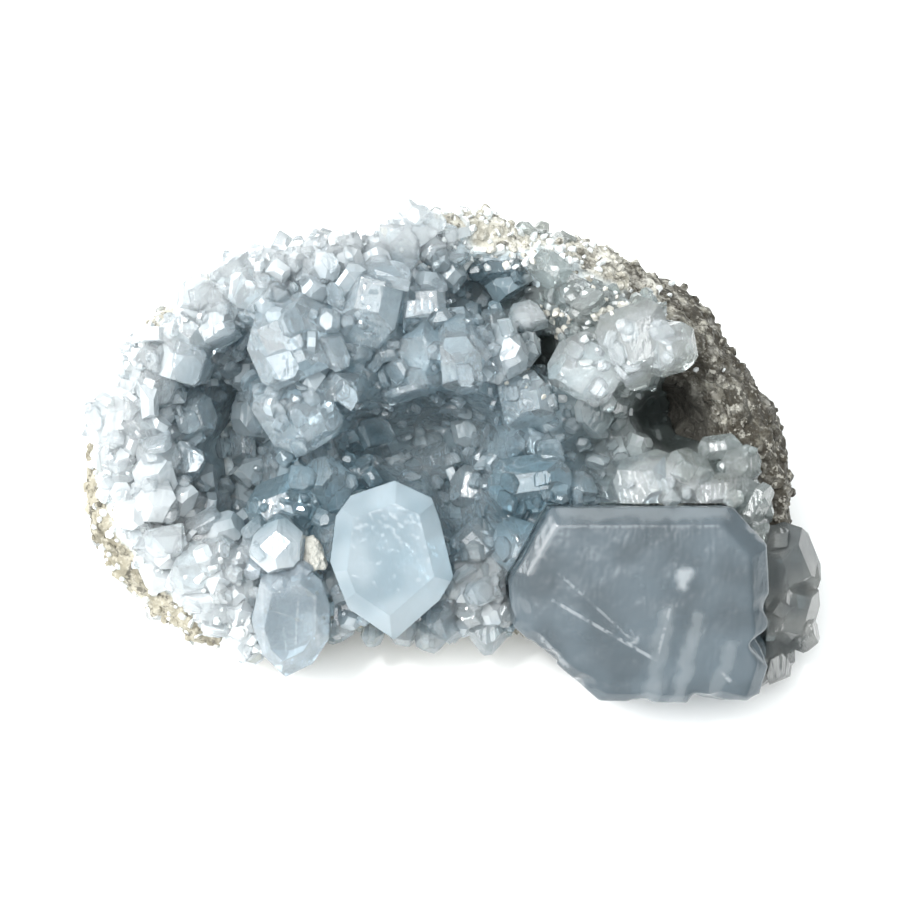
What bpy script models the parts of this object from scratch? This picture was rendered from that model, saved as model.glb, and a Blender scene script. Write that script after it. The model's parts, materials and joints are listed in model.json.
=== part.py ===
# Celestite geode: a piece of a pale limestone nodule, broken open, its hollow crusted with blue celestite crystals.
# Everything is shaped in a face frame: +X to the right along the open face, +Y up the face and +Z straight out of it,
# with the origin in the middle of the opening. An empty then leans the piece back on the flat spot of its rind.
import math
import random

import bmesh
import bpy
from mathutils import Matrix, Vector, noise

MM = 0.001

# Driving dimensions
FACE_TILT = math.radians(38)  # lean of the open face, from lying level towards the front
NODULE_DEPTH = 27 * MM  # from the plane of the opening to the back of the rind
GROUND_DROP = 26.2 * MM  # from the face frame's origin straight down to the surface that the geode rests on
SEAT_GAP = 0.3 * MM  # clearance between pieces that grew on each other
CRUST_THICKNESS = 2.2 * MM  # massive celestite between the limestone and the crystals
CRUST_ROOT = 4 * MM  # how far the crust's blank reaches below its bed before the rind is cut from it
ROOT_LENGTH = 3.5 * MM  # how far a crystal's foot goes down into the crust

# Outline of the rind as the open face shows it: direction in degrees, reach in millimetres
RIND_OUTLINE = [
    (-175, 47.0), (-162, 46.8), (-150, 46.0), (-138, 43.2), (-128, 38.2), (-116, 27.4), (-98, 25.6),
    (-80, 26.4), (-64, 28.5), (-52, 32.5), (-42, 38.0), (-32, 43.0), (-22, 47.0), (-12, 45.2), (0, 42.0),
    (14, 39.6), (28, 36.2), (45, 31.4), (62, 28.4), (80, 25.4), (100, 25.0), (118, 26.0), (135, 30.6),
    (140, 32.8), (148, 35.0), (160, 38.8), (172, 43.3),
]
# How far out the crystals cover the face, as a share of that reach
CRUST_REACH = [
    (-175, 0.94), (-160, 0.91), (-146, 0.87), (-136, 0.88), (-125, 0.94), (-100, 0.97), (-60, 0.97), (-30, 0.95),
    (-14, 0.90), (-4, 0.85), (4, 0.80), (25, 0.80), (45, 0.80), (65, 0.82), (85, 0.84), (105, 0.92), (125, 0.98),
    (145, 0.98), (165, 0.97),
]
# How far the broken edge of the rind slopes back before it turns into the outside, in millimetres
EDGE_SLOPE = [(-160, 3.5), (-100, 3.0), (-50, 4.0), (-15, 8.0), (15, 9.0), (45, 8.0), (80, 5.0), (130, 3.0)]

DISH_RINGS = 9  # rings of the rind's mesh that lie in the hollow, under the crust
DISH_EDGE = 0.86  # share of the reach where the hollow ends and the broken edge begins
# The outside, from the broken edge to the middle of the back: share of the reach, share of the depth
EDGE_PROFILE = [(0.93, 0.20), (0.975, 0.55)]
BACK_PROFILE = [
    (1.0, 0.0), (0.985, 0.15), (0.94, 0.32), (0.855, 0.50), (0.73, 0.67), (0.57, 0.81), (0.39, 0.915),
    (0.20, 0.98), (0.0, 1.0),
]
RIND_SEGMENTS = 50
RIND_RINGS = DISH_RINGS + len(EDGE_PROFILE) + len(BACK_PROFILE) - 1
# Lumps, ledges and pits of the limestone: size across and height, in millimetres
RIND_LUMPS = [(16.0, 3.0), (7.0, 1.8), (3.4, 1.0)]

# Swells and hollows of the crystal bed: x, y, half width, half height, rise, in millimetres
BED_FORMS = [
    (-27.2, 0.5, 5.2, 10.5, -13.0),  # left hollow
    (-27.5, -10.0, 6.5, 4.5, -7.0),  # foot of the left hollow
    (-2.5, -1.8, 10.0, 5.6, -13.0),  # middle hollow
    (0.8, -9.8, 3.6, 5.0, -9.0),  # foot of the middle hollow
    (5.6, 16.6, 6.4, 4.2, -9.0),  # upper hollow
    (11.6, 9.6, 2.9, 3.2, -9.0),  # small pit
    (29.6, 1.7, 6.6, 4.6, -13.5),  # right hollow
    (18.8, -4.6, 3.4, 4.4, -6.0),  # gap above the large crystal
    (-17.5, 12.5, 10.0, 8.5, 4.5),  # upper left swell
    (6.3, 6.6, 8.0, 5.0, 2.5),  # middle ridge
    (21.5, 9.5, 8.5, 6.5, 2.5),  # right shelf
    (-20.0, -16.0, 9.0, 6.0, 3.0),  # lower left lip
    (8.0, -15.5, 12.0, 5.0, 1.5),  # lower middle lip
]

# Crystals of the crust that are wide enough to be told apart, in millimetres and degrees:
# x, y, width, height, stand above the bed, lean to the right, lean up the face, turn, habit
CRYSTALS = [
    # left rim
    (-32.2, 1.2, 6.4, 6.4, 5.0, 14, 0, 20, "plate"),
    (-32.5, 12.1, 6.0, 5.2, 3.6, -8, 14, 55, "plate"),
    (-32.2, 7.6, 5.2, 5.0, 4.0, 6, 4, -15, "chisel"),
    (-36.4, -4.1, 5.2, 4.6, 3.2, -6, 0, 10, "plate"),
    (-32.4, -4.8, 5.4, 4.4, 4.2, 24, -10, -35, "chisel"),
    (-37.8, -9.6, 7.0, 5.6, 2.8, -8, -4, 15, "plate"),
    (-38.9, -0.4, 4.6, 4.0, 2.4, -14, 6, 40, "chisel"),
    (-36.9, 5.0, 4.4, 4.6, 2.6, -10, 8, 70, "plate"),
    # upper left shoulder
    (-26.4, 19.6, 5.4, 4.8, 3.0, -8, 24, 30, "plate"),
    (-21.4, 20.6, 5.4, 4.6, 2.8, -4, 28, -10, "plate"),
    (-13.4, 22.8, 5.0, 4.2, 2.4, 0, 26, 20, "plate"),
    (-31.8, 15.6, 5.0, 4.6, 2.8, -14, 16, 10, "chisel"),
    (-5.6, 24.0, 4.2, 3.6, 1.8, 4, 26, 0, "chisel"),
    (-28.4, 16.0, 4.8, 5.0, 3.4, -4, 22, 0, "plate"),
    (-23.4, 17.4, 5.8, 6.6, 4.0, 2, 20, 80, "chisel"),
    (-19.0, 10.6, 11.4, 10.0, 6.5, 2, 2, 24, "plate"),
    (-10.2, 15.4, 8.2, 10.0, 5.5, 0, 8, -12, "plate"),
    (-16.2, 20.2, 7.0, 4.8, 3.0, 0, 26, 10, "chisel"),
    (-8.6, 21.8, 6.4, 4.4, 2.2, 6, 24, -20, "chisel"),
    (-3.4, 15.4, 5.6, 9.6, 4.6, -4, 4, 4, "plate"),
    (-3.0, 9.8, 6.2, 5.0, 5.2, 8, 0, 38, "chisel"),
    # middle
    (-18.4, 0.9, 9.2, 10.6, 7.0, 12, -14, 30, "plate"),
    (-12.2, 4.4, 6.6, 3.6, 6.0, 24, -8, -6, "chisel"),
    (-11.2, -1.2, 4.8, 3.8, 3.4, 10, 0, 44, "plate"),
    (-4.4, 5.2, 7.2, 5.6, 4.8, 0, -20, 14, "plate"),
    (1.5, 6.0, 5.0, 8.4, 8.0, 2, -26, 4, "chisel"),
    (6.6, 8.4, 6.2, 5.6, 5.0, 0, 0, 30, "plate"),
    (9.2, 2.8, 6.4, 7.0, 5.2, -6, -8, 12, "plate"),
    (1.6, 13.8, 4.6, 4.6, 4.0, 0, 6, 30, "plate"),
    (5.4, 12.4, 3.8, 4.8, 4.2, -6, 4, 8, "chisel"),
    (10.0, 14.0, 3.0, 3.8, 4.6, -12, 10, 26, "chisel"),
    (9.6, -2.4, 6.4, 4.4, 2.6, -10, 4, -24, "chisel"),
    # roof of the upper hollow
    (6.6, 19.8, 9.4, 4.6, 3.2, 0, -12, 4, "plate"),
    (12.2, 19.4, 4.2, 5.0, 3.0, -10, -8, 50, "chisel"),
    # right shelf
    (16.3, 6.4, 8.8, 7.0, 5.0, -10, -10, -28, "plate"),
    (23.0, 10.0, 8.8, 9.4, 5.2, 0, -4, 20, "plate"),
    (28.4, 8.8, 5.2, 6.4, 7.4, 26, -8, 12, "plate"),
    (37.2, 1.2, 3.6, 5.2, 2.6, -14, 4, 0, "chisel"),
    (33.8, -2.4, 5.6, 3.2, 4.0, -8, 12, 6, "plate"),
    # above the large crystal
    (9.8, -7.2, 10.4, 7.2, 5.0, -4, 2, 8, "plate"),
    (16.2, -8.2, 4.8, 5.0, 4.0, 6, 4, 30, "chisel"),
    (24.6, -6.8, 7.8, 8.4, 6.4, 4, 14, 18, "chisel"),
    (30.0, -5.6, 6.4, 6.6, 4.8, 12, 10, -30, "plate"),
    (33.4, -8.2, 6.4, 4.8, 4.8, 6, 8, 8, "plate"),
    (31.4, -10.8, 9.2, 3.4, 5.6, 4, 12, 2, "plate"),
    (37.0, -4.6, 4.6, 4.2, 2.8, 8, 4, 20, "chisel"),
    (37.4, -9.2, 4.8, 4.8, 3.2, 14, 0, 60, "plate"),
    (37.8, -13.6, 5.2, 5.6, 3.6, 16, -4, 15, "chisel"),
    # lower left
    (-20.8, -9.4, 9.6, 7.4, 6.0, -4, 8, 20, "plate"),
    (-15.2, -7.4, 6.6, 6.8, 5.4, 10, 4, -38, "chisel"),
    (-11.6, -6.2, 4.4, 5.2, 3.4, 8, 8, 12, "plate"),
    (-21.6, -15.6, 7.8, 7.0, 6.4, -2, -6, 34, "plate"),
    (-30.8, -9.6, 7.6, 5.6, 4.2, 18, 8, -12, "chisel"),
    (-30.4, -13.4, 6.2, 4.4, 4.0, 4, 4, 26, "plate"),
    (-30.2, -18.6, 9.0, 7.2, 4.4, -2, -10, 14, "plate"),
    (-36.0, -15.8, 5.4, 5.2, 2.4, -10, -6, 40, "chisel"),
    (-28.6, -23.4, 6.2, 5.2, 3.4, -2, -22, -8, "plate"),
    (-24.6, -26.8, 6.0, 5.2, 2.6, 6, -34, 30, "chisel"),
    # lower edge
    (-14.6, -14.2, 5.4, 6.4, 4.2, -4, 0, 8, "chisel"),
    (-14.0, -20.8, 5.4, 5.0, 2.6, -4, -26, 24, "plate"),
    (3.2, -14.8, 5.8, 5.2, 4.6, 0, 0, 42, "plate"),
    (8.0, -15.2, 6.2, 7.0, 4.4, -4, 0, -18, "chisel"),
    (3.4, -20.4, 8.6, 6.2, 3.6, 2, -18, 10, "plate"),
    (4.8, -23.6, 6.6, 4.8, 2.4, 4, -38, 28, "chisel"),
    (-2.4, -22.6, 8.0, 5.8, 1.8, -4, -38, -6, "plate"),
    # down in the hollows
    (-26.6, -2.6, 3.2, 6.6, 4.6, 4, -6, 4, "chisel"),
    (-24.6, 0.8, 2.8, 5.6, 4.0, -10, 0, -6, "chisel"),
    (-28.6, 8.2, 5.0, 5.4, 3.4, 6, -12, 30, "plate"),
    (-2.6, -4.4, 5.6, 5.0, 3.6, -8, 12, 24, "chisel"),
    (2.2, -7.6, 4.6, 5.4, 3.4, -6, 8, -10, "plate"),
    (27.2, -1.0, 4.8, 3.6, 3.0, 8, 22, 12, "chisel"),
    (32.4, 3.8, 4.4, 4.2, 2.6, -16, -10, 36, "plate"),
]

# Small crystals that fill the bed between them
FILL_SEED = 7
FILL_TRIES = 900
FILL_WIDTH = (2.6, 4.4)  # millimetres
FILL_STAND = (1.4, 3.0)
FILL_SPACING = 0.78  # least distance to a neighbour, as a share of the two half widths together

# Faces of celestite, as directions from a crystal's middle, from its cell of 8.36 : 5.35 : 6.87
HALF_PRISM = math.radians(38.0)  # between the a axis and the normal of the prism {210}
DOME_A = math.radians(50.6)  # between the a axis and the normal of the dome {101}
DOME_B = math.radians(52.1)  # between the c axis and the normal of the dome {011}

# A crystal's side angle, then for its width and its height the slope of the end faces and how far out on the end
# each of them starts, as a share of the half size
HABITS = {
    "chisel": (math.pi / 2 - DOME_B, (HALF_PRISM, (-0.15, 0.35)), (DOME_A, (0.10, 0.60))),
    "plate": (HALF_PRISM, (math.pi / 2 - DOME_A, (0.05, 0.65)), (DOME_B, (0.15, 0.70))),
}
SIDE_CUT = (0.68, 0.88)  # distance of the slanting sides, as a share of the corner's

# Large crystals on the lower edge, in millimetres: the corners of the front face's outline, each with the width of
# the bevel on the edge that starts there; the front face's height and its fall to the right and up the face; the
# height of the foot
LARGE_CRYSTALS = {
    "large_tabular_crystal": dict(
        outline=[
            (12.2, -10.0, 2.1), (34.4, -10.0, 2.6), (38.6, -14.6, 2.4), (39.4, -27.6, 1.6), (37.4, -34.2, 0.9),
            (18.2, -33.6, 1.2), (7.6, -24.5, 2.4), (7.1, -19.0, 1.7),
        ],
        front=10.4, fall=(0.05, -0.10), foot=-6.5, bevel_slope=math.pi / 2 - DOME_A,
    ),
    "pointed_crystal": dict(
        outline=[
            (-12.0, -8.6, 2.6), (-6.7, -6.8, 2.4), (-2.2, -8.9, 1.4), (-1.2, -11.7, 2.2), (0.4, -18.4, 1.6),
            (-1.2, -21.2, 2.6), (-6.7, -26.1, 2.2), (-12.3, -22.3, 1.6), (-14.5, -16.6, 2.2), (-13.8, -11.1, 1.2),
        ],
        front=12.4, fall=(-0.04, -0.08), foot=-4.0, bevel_slope=HALF_PRISM,
    ),
    "corner_crystal": dict(
        outline=[
            (-23.0, -18.4, 2.4), (-18.4, -16.8, 1.8), (-15.7, -19.0, 1.0), (-14.7, -22.1, 1.5), (-14.9, -26.4, 1.8),
            (-16.9, -29.4, 2.0), (-20.2, -31.0, 1.4), (-23.0, -28.2, 1.4), (-24.3, -23.9, 1.9),
        ],
        front=8.8, fall=(0.06, -0.22), foot=-4.5, bevel_slope=DOME_A,
    ),
}
# The greyer crystals grown together on the lower right corner, as rows of the same form as CRYSTALS but with the
# height of the tip over the face plane in place of the stand
SMOKY_CLUSTER = [
    (43.0, -16.8, 9.0, 9.4, 0.5, 20, 6, 24, "plate"),
    (43.4, -23.8, 8.6, 9.0, 0.0, 22, -8, -16, "plate"),
    (40.8, -29.4, 7.0, 6.6, -1.0, 16, -14, 30, "chisel"),
]
SMOKY_LENGTH = 11 * MM
GROUND_CLEAR = 1.2 * MM  # between the surface that the geode rests on and the crystals over it

DOWN = -Vector((0, math.sin(FACE_TILT), math.cos(FACE_TILT)))  # straight down, in the face frame

COLOURS = {
    "rind": ((0.62, 0.59, 0.52), 0.95),
    "crust": ((0.66, 0.75, 0.79), 0.25),
    "large_tabular_crystal": ((0.47, 0.57, 0.64), 0.30),
    "pointed_crystal": ((0.58, 0.68, 0.74), 0.28),
    "corner_crystal": ((0.50, 0.60, 0.68), 0.25),
    "smoky_cluster": ((0.45, 0.48, 0.49), 0.35),
}


def around(table, angle):
    # A value of a table of (degrees, value) that runs round the face, in a given direction.
    degrees = math.degrees(angle)
    for (start, low), (end, high) in zip(table, table[1:] + [(table[0][0] + 360, table[0][1])]):
        if start <= degrees <= end:
            return low + (high - low) * (degrees - start) / (end - start)
    return around(table, angle + 2 * math.pi)


def smooth(value, low, high):
    share = min(1, max(0, (value - low) / (high - low)))
    return share * share * (3 - 2 * share)


def rim_height(angle):
    # The right side of the broken edge lies a little further back than the left.
    return (-1.2 - 1.6 * math.cos(angle)) * MM


def bed_height(x, y):
    # Height of the crystal bed over the face plane.
    angle = math.atan2(y, x)
    share = math.hypot(x, y) / (around(RIND_OUTLINE, angle) * MM)
    dish = -1.5 * MM
    height = dish + (rim_height(angle) + 1.6 * MM - dish) * smooth(share, 0.45, 0.95)
    for form_x, form_y, half_width, half_height, rise in BED_FORMS:
        across = (x / MM - form_x) / half_width
        up = (y / MM - form_y) / half_height
        height += rise * MM * math.exp(-((across * across + up * up) ** 1.6))
    return height


def bed_normal(x, y, step=0.6 * MM):
    slope_x = (bed_height(x + step, y) - bed_height(x - step, y)) / (2 * step)
    slope_y = (bed_height(x, y + step) - bed_height(x, y - step)) / (2 * step)
    return Vector((-slope_x, -slope_y, 1)).normalized()


def in_collection(name, hidden=False):
    collection = bpy.data.collections.new(name)
    bpy.context.scene.collection.children.link(collection)
    collection.hide_render = hidden
    return collection


def add_object(name, mesh, collection):
    obj = bpy.data.objects.new(name, mesh)
    collection.objects.link(obj)
    if collection.hide_render:
        obj.hide_render = True
        obj.display_type = "WIRE"
    return obj


def mesh_of(name, shape):
    bmesh.ops.recalc_face_normals(shape, faces=shape.faces[:])
    mesh = bpy.data.meshes.new(name)
    shape.to_mesh(mesh)
    shape.free()
    return mesh


def ball(rings, place):
    # A UV sphere whose points are moved to place(ring, angle): ring 0 is its front pole and the last its back pole.
    shape = bmesh.new()
    bmesh.ops.create_uvsphere(shape, u_segments=RIND_SEGMENTS, v_segments=rings, radius=1)
    for point in shape.verts:
        ring = round(math.acos(max(-1, min(1, point.co.z))) / math.pi * rings)
        point.co = place(ring, math.atan2(point.co.y, point.co.x))
    bmesh.ops.triangulate(shape, faces=shape.faces[:], quad_method="FIXED")
    return shape


def lumpy(point):
    # The point of the rind's outside moved out or in by its lumps and pits.
    outward = (point - Vector((0, 0, -0.3 * NODULE_DEPTH))).normalized()
    for across, height in RIND_LUMPS:
        point = point + outward * (height * MM * noise.noise(point / (across * MM)))
    return point


def rind_point(ring, angle, clear=0):
    # A point of the rind, or of the surface that lies the distance clear outside it.
    reach = around(RIND_OUTLINE, angle) * MM
    rim = rim_height(angle)
    slope = around(EDGE_SLOPE, angle) * MM
    flat = Vector((math.cos(angle), math.sin(angle), 0))
    up = Vector((0, 0, 1))
    if ring <= DISH_RINGS:
        share = DISH_EDGE * ring / DISH_RINGS
        x, y, _ = flat * share * reach
        cover = around(CRUST_REACH, angle)
        bed = bed_height(x, y) - CRUST_THICKNESS
        bare = smooth(share, cover - 0.12, cover + 0.02)
        bare_height = bed + (max(rim, bed) - bed) * bare
        return Vector((x, y, bare_height + clear / bed_normal(x, y).z))
    ring -= DISH_RINGS + 1
    if ring < len(EDGE_PROFILE):
        share, fall = EDGE_PROFILE[ring]
        return lumpy(flat * share * reach + up * (rim - fall * slope)) + (up + flat * 0.5) * clear
    share, depth = BACK_PROFILE[ring - len(EDGE_PROFILE)]
    edge = rim - slope
    point = flat * share * reach + up * (edge - depth * (NODULE_DEPTH + edge))
    return lumpy(point) + (flat * math.sqrt(share) - up * depth) * clear


def rind_mesh(name, clear=0):
    shape = ball(RIND_RINGS, lambda ring, angle: rind_point(ring, angle, clear))
    cleave(shape, DOWN, GROUND_DROP + clear)
    return mesh_of(name, shape)


def crust_blank_mesh():
    rings = 2 * DISH_RINGS + 1

    def place(ring, angle):
        reach = around(RIND_OUTLINE, angle) * around(CRUST_REACH, angle) * MM
        front = ring <= DISH_RINGS
        share = (ring if front else rings - ring) / DISH_RINGS
        x, y = math.cos(angle) * share * reach, math.sin(angle) * share * reach
        return Vector((x, y, bed_height(x, y) - (0 if front else CRUST_ROOT)))

    return mesh_of("crust_blank", ball(rings, place))


def cleave(shape, direction, distance):
    # Cuts away all of a closed shape beyond a plane and closes it with one flat face.
    direction = Vector(direction).normalized()
    parts = shape.verts[:] + shape.edges[:] + shape.faces[:]
    cut = bmesh.ops.bisect_plane(
        shape, geom=parts, plane_co=direction * distance, plane_no=direction, clear_outer=True
    )
    rim = [part for part in cut["geom_cut"] if isinstance(part, bmesh.types.BMEdge)]
    if rim:
        bmesh.ops.contextual_create(shape, geom=rim)


def block(half_x, half_y, half_z):
    shape = bmesh.new()
    bmesh.ops.create_cube(shape, size=2)
    bmesh.ops.scale(shape, vec=(half_x, half_y, half_z), verts=shape.verts)
    return shape


def grown_crystal(width, height, length, habit, chance):
    # One crystal of the crust along its local Z, its root end square and its free end with celestite's faces.
    half = width / 2, height / 2, length / 2
    side_angle, *ends = HABITS[habit]
    shape = block(*half)
    for right in (-1, 1):
        for up in (-1, 1):
            side = Vector((right * math.cos(side_angle), up * math.sin(side_angle), 0))
            corner = abs(side.x) * half[0] + abs(side.y) * half[1]
            cleave(shape, side, corner * chance.uniform(*SIDE_CUT))
    for axis, (angle, cut) in enumerate(ends):
        for sign in (-1, 1):
            face = Vector((0, 0, math.cos(angle)))
            face[axis] = sign * math.sin(angle)
            cleave(shape, face, face.z * half[2] + math.sin(angle) * half[axis] * chance.uniform(*cut))
    return shape


def standing(tip, lean_right, lean_up, turn, length):
    # Places a crystal's local frame with the middle of its free end on tip.
    axis = Vector((math.tan(lean_right), math.tan(lean_up), 1)).normalized()
    side = (Vector((1, 0, 0)) - axis * axis.x).normalized()
    frame = Matrix((side, axis.cross(side), axis)).transposed().to_4x4()
    return Matrix.Translation(tip - axis * length / 2) @ frame @ Matrix.Rotation(turn, 4, "Z")


def add_crystal(row, tip_height, length, seed, name, collection, grow=0):
    # Adds the crystal of one row, or with grow the seat that leaves that clearance round it.
    x, y, width, height, _, lean_right, lean_up, turn, habit = row
    across = width * MM + 2 * grow, height * MM + 2 * grow
    shape = grown_crystal(*across, length + 2 * grow, habit, random.Random(seed))
    leans = math.radians(lean_right), math.radians(lean_up), math.radians(turn)
    tip = Vector((x * MM, y * MM, tip_height + grow))
    shape.transform(standing(tip, *leans, length + 2 * grow))
    cleave(shape, DOWN, GROUND_DROP - GROUND_CLEAR + grow)
    return add_object(name, mesh_of(name, shape), collection)


def fill_rows(chance):
    # Rows for the small crystals: scattered over the bed, standing square on it, and clear of each other.
    placed = [(row[0], row[1], 0.36 * (row[2] + row[3])) for row in CRYSTALS]
    rows = []
    for _ in range(FILL_TRIES):
        angle = chance.uniform(-math.pi, math.pi)
        reach = around(RIND_OUTLINE, angle) * (around(CRUST_REACH, angle) - 0.03)
        out = reach * math.sqrt(chance.random())
        x, y = out * math.cos(angle), out * math.sin(angle)
        width = chance.uniform(*FILL_WIDTH)
        if any(math.hypot(x - px, y - py) < FILL_SPACING * (half + width / 2) for px, py, half in placed):
            continue
        placed.append((x, y, width / 2))
        normal = bed_normal(x * MM, y * MM)
        lean_right = math.degrees(math.atan2(normal.x, normal.z)) * 0.7 + chance.uniform(-16, 16)
        lean_up = math.degrees(math.atan2(normal.y, normal.z)) * 0.7 + chance.uniform(-16, 16)
        size = width, width * chance.uniform(0.75, 1.3), chance.uniform(*FILL_STAND)
        habit = chance.choice(["chisel", "plate"])
        rows.append((x, y, *size, lean_right, lean_up, chance.uniform(0, 180), habit))
    return rows


def solid_copy(obj, name, collection):
    # The object with its modifiers made real, as one body: crumbs that a cut left loose are dropped.
    bpy.context.view_layer.update()
    graph = bpy.context.evaluated_depsgraph_get()
    mesh = bpy.data.meshes.new_from_object(obj.evaluated_get(graph))
    shape = bmesh.new()
    shape.from_mesh(mesh)
    bmesh.ops.remove_doubles(shape, verts=shape.verts[:], dist=0.004 * MM)
    bmesh.ops.dissolve_degenerate(shape, edges=shape.edges[:], dist=0.004 * MM)
    shape.verts.ensure_lookup_table()
    islands, seen = [], set()
    for start in shape.verts:
        if start in seen:
            continue
        island, waiting = [], [start]
        seen.add(start)
        while waiting:
            point = waiting.pop()
            island.append(point)
            for edge in point.link_edges:
                other = edge.other_vert(point)
                if other not in seen:
                    seen.add(other)
                    waiting.append(other)
        islands.append(island)
    islands.sort(key=len)
    bmesh.ops.delete(shape, geom=[point for island in islands[:-1] for point in island], context="VERTS")
    bpy.data.meshes.remove(mesh)
    return add_object(name, mesh_of(name, shape), collection)


def boolean(obj, operation, other):
    # Cuts an object, or joins it to another or to all of a collection.
    modifier = obj.modifiers.new(operation.lower(), "BOOLEAN")
    modifier.operation = operation
    modifier.solver = "EXACT"
    if isinstance(other, bpy.types.Collection):
        modifier.operand_type = "COLLECTION"
        modifier.collection = other
    else:
        modifier.object = other


def large_crystal_mesh(name, grow=0):
    # A large crystal cut from a block, with every face moved out by grow.
    plan = LARGE_CRYSTALS[name]
    corners = [Vector((x * MM, y * MM, 0)) for x, y, _ in plan["outline"]]
    middle = sum(corners, Vector()) / len(corners)
    front, foot = plan["front"] * MM, plan["foot"] * MM
    shape = block(40 * MM, 40 * MM, 20 * MM)
    bmesh.ops.translate(shape, vec=middle, verts=shape.verts)

    def cut(direction, point):
        direction = direction.normalized()
        cleave(shape, direction, direction.dot(point) + grow)

    face = Vector((*plan["fall"], 1)).normalized()
    crown = middle + Vector((0, 0, front))
    cut(face, crown)
    cut(Vector((0, 0, -1)), Vector((0, 0, foot)))
    for (_, _, width), start, end in zip(plan["outline"], corners, corners[1:] + corners[:1]):
        along = end - start
        side = Vector((along.y, -along.x, 0)).normalized()
        side *= math.copysign(1, side.dot(start - middle))
        cut(side, start)
        inner = start - side * width * MM
        inner.z = front - (face.xy.dot((inner - middle).xy)) / face.z
        slope = plan["bevel_slope"]
        cut(side * math.sin(slope) + face * math.cos(slope), inner)
    cleave(shape, DOWN, GROUND_DROP - GROUND_CLEAR + grow)
    return mesh_of(name, shape)


def finish(obj):
    colour, roughness = COLOURS[obj.name]
    material = bpy.data.materials.new(obj.name)
    material.use_nodes = True
    shader = material.node_tree.nodes["Principled BSDF"]
    shader.inputs["Base Color"].default_value = (*colour, 1)
    shader.inputs["Roughness"].default_value = roughness
    shader.inputs["Metallic"].default_value = 0
    obj.data.materials.clear()
    obj.data.materials.append(material)
    obj.data.shade_flat()


def rest_on_ground(pieces):
    # Leans the face frame back and puts the middle of the whole piece's footprint over the origin.
    lean = Matrix.Rotation(FACE_TILT, 4, "X")
    corners = [lean @ point.co for piece in pieces for point in piece.data.vertices]
    middle = [(min(c[axis] for c in corners) + max(c[axis] for c in corners)) / 2 for axis in (0, 1)]
    rest = bpy.data.objects.new("face_frame", None)
    bpy.context.scene.collection.objects.link(rest)
    rest.rotation_euler.x = FACE_TILT
    rest.location = (-middle[0], -middle[1], GROUND_DROP)
    for piece in pieces:
        piece.parent = rest


def main():
    for obj in list(bpy.data.objects):
        bpy.data.objects.remove(obj)
    geode = in_collection("celestite_geode")
    cutters = in_collection("cutters", hidden=True)
    crystals = in_collection("crystals", hidden=True)
    smoky = in_collection("smoky_crystals", hidden=True)
    seats = in_collection("seats", hidden=True)

    rind = add_object("rind", rind_mesh("rind"), geode)
    rind_seat = add_object("rind_seat", rind_mesh("rind_seat", SEAT_GAP), seats)

    pieces = [rind]
    for name in LARGE_CRYSTALS:
        whole = add_object(name + "_whole", large_crystal_mesh(name), cutters)
        boolean(whole, "DIFFERENCE", rind_seat)
        pieces.append(solid_copy(whole, name, geode))
        add_object(name + "_seat", large_crystal_mesh(name, SEAT_GAP), seats)

    for number, row in enumerate(SMOKY_CLUSTER):
        place = row, row[4] * MM, SMOKY_LENGTH, number
        add_crystal(*place, f"smoky_{number}", smoky)
        add_crystal(*place, f"smoky_seat_{number}", seats, SEAT_GAP)
    first, *others = list(smoky.objects)
    for other in others:
        boolean(first, "UNION", other)
    boolean(first, "DIFFERENCE", seats.objects["large_tabular_crystal_seat"])
    boolean(first, "DIFFERENCE", rind_seat)
    pieces.append(solid_copy(first, "smoky_cluster", geode))

    for number, row in enumerate(CRYSTALS + fill_rows(random.Random(FILL_SEED))):
        x, y, stand = row[0] * MM, row[1] * MM, row[4] * MM
        add_crystal(row, bed_height(x, y) + stand, stand + ROOT_LENGTH, number, f"crystal_{number}", crystals)
    blank = add_object("crust_blank", crust_blank_mesh(), cutters)
    boolean(blank, "UNION", crystals)
    for seat in seats.objects:
        boolean(blank, "DIFFERENCE", seat)
    pieces.append(solid_copy(blank, "crust", geode))

    for piece in pieces:
        finish(piece)
    rest_on_ground(pieces)


main()
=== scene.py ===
import json
import math
import random

import bpy
from mathutils import Matrix, Vector, noise
from mathutils.bvhtree import BVHTree

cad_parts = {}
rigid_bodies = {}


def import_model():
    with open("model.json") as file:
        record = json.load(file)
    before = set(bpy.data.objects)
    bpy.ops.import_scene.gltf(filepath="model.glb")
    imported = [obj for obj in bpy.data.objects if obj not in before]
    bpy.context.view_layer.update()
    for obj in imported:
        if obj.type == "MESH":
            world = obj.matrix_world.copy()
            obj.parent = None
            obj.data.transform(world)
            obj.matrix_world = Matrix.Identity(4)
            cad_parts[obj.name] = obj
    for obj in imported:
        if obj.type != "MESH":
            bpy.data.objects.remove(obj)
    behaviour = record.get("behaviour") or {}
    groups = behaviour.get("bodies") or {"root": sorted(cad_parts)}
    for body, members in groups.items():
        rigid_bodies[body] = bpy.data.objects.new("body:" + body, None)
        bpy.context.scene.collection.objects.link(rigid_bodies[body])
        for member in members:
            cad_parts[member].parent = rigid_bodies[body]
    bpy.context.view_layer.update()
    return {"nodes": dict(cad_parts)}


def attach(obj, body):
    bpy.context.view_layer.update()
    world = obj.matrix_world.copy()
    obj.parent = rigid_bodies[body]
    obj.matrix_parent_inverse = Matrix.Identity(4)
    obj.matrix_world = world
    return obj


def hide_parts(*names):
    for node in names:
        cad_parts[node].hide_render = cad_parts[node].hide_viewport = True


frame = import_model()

mm = 0.001

# The open face leans back from lying level. Places on the face are in millimetres in the face's own frame:
# x to the right, y up the face and z out of it, from the middle of the opening.
faceTilt = math.radians(38)
faceOrigin = Vector((-0.2909, 1.0386, 26.2)) * mm
faceNormal = Vector((0, -math.sin(faceTilt), math.cos(faceTilt)))
faceMatrix = Matrix.Translation(faceOrigin) @ Matrix.Rotation(faceTilt, 4, "X")


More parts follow.
